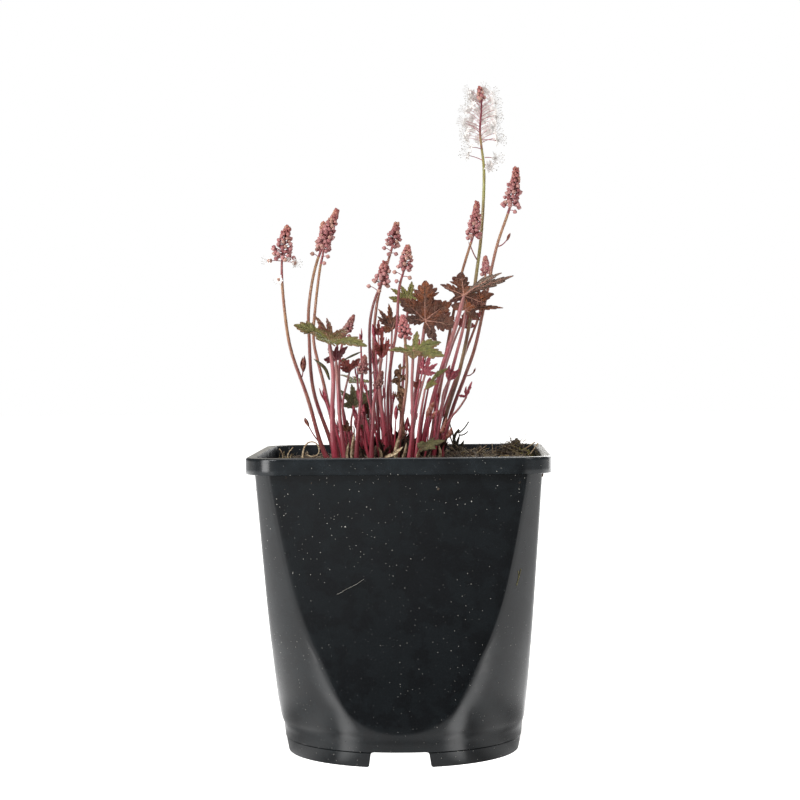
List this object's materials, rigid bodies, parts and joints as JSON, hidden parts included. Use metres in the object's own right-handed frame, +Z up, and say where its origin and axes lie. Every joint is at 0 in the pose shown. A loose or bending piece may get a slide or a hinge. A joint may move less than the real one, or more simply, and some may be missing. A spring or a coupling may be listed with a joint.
{
  "type": "potted foamflower plant",
  "caption": "Flowering foamflower clump with pink bud spikes and lobed bronze and green leaves, standing in soil in a square-top round-foot black nursery pot.",
  "frame": {"origin": "on the ground under the middle of the pot", "axes": "+Z up, -Y towards the viewer of the picture, +X to its right"},
  "size_m": [0.165, 0.165, 0.3775],
  "materials": {
    "pot_plastic": "smooth moulded black plastic, glossy, with dust and fine scratches",
    "soil_mix": "moist dark potting mix with fibres, grit and a little moss",
    "stalk_skin": "crimson at the foot, tan brown above, satin",
    "bud_skin": "dusty rose buds with orange red tips",
    "petal": "thin white pink petals on a dark red axis",
    "leaf_stem_skin": "pink to crimson, satin, finely haired",
    "leaf_bronze": "bronze brown leaf with lighter veins",
    "leaf_green": "olive green leaf with a rosy edge",
    "leaf_red": "young crimson and red brown leaf",
    "dry_plant": "dried olive brown leaf, stem and twig"
  },
  "bodies": {
    "root": {"pot": "pot_plastic", "soil": "soil_mix", "stalk_01": "stalk_skin", "buds_01": "bud_skin", "stalk_02": "stalk_skin", "buds_02": "bud_skin", "stalk_03": "stalk_skin", "buds_03": "bud_skin", "stalk_04": "stalk_skin", "buds_04": "bud_skin", "stalk_05": "stalk_skin", "buds_05": "bud_skin", "stalk_06": "stalk_skin", "buds_06": "bud_skin", "stalk_07": "stalk_skin", "flowers_07": "petal", "stalk_08": "stalk_skin", "buds_08": "bud_skin", "stalk_09": "stalk_skin", "buds_09": "bud_skin", "stalk_10": "stalk_skin", "buds_10": "bud_skin", "stalk_11": "stalk_skin", "buds_11": "bud_skin", "stalk_12": "stalk_skin", "buds_12": "bud_skin", "stalk_13": "stalk_skin", "buds_13": "bud_skin", "stalk_14": "stalk_skin", "buds_14": "bud_skin", "leaf_stem_01": "leaf_stem_skin", "leaf_blade_01": "leaf_green", "leaf_stem_02": "leaf_stem_skin", "leaf_blade_02": "leaf_red", "leaf_stem_03": "leaf_stem_skin", "leaf_blade_03": "leaf_bronze", "leaf_stem_04": "leaf_stem_skin", "leaf_blade_04": "leaf_green", "leaf_stem_05": "leaf_stem_skin", "leaf_blade_05": "leaf_bronze", "leaf_stem_06": "leaf_stem_skin", "leaf_blade_06": "leaf_bronze", "leaf_stem_07": "leaf_stem_skin", "leaf_blade_07": "leaf_green", "young_leaf_01": "leaf_red", "young_leaf_02": "leaf_bronze", "young_leaf_03": "leaf_green", "young_leaf_04": "leaf_red", "young_leaf_05": "leaf_green", "young_leaf_06": "leaf_red", "young_leaf_07": "leaf_bronze", "young_leaf_08": "leaf_red", "young_leaf_09": "leaf_red", "young_leaf_10": "leaf_red", "fallen_leaf": "dry_plant", "dried_stem": "dry_plant", "twig": "dry_plant", "dry_curl": "dry_plant"}
  },
  "joints": []
}
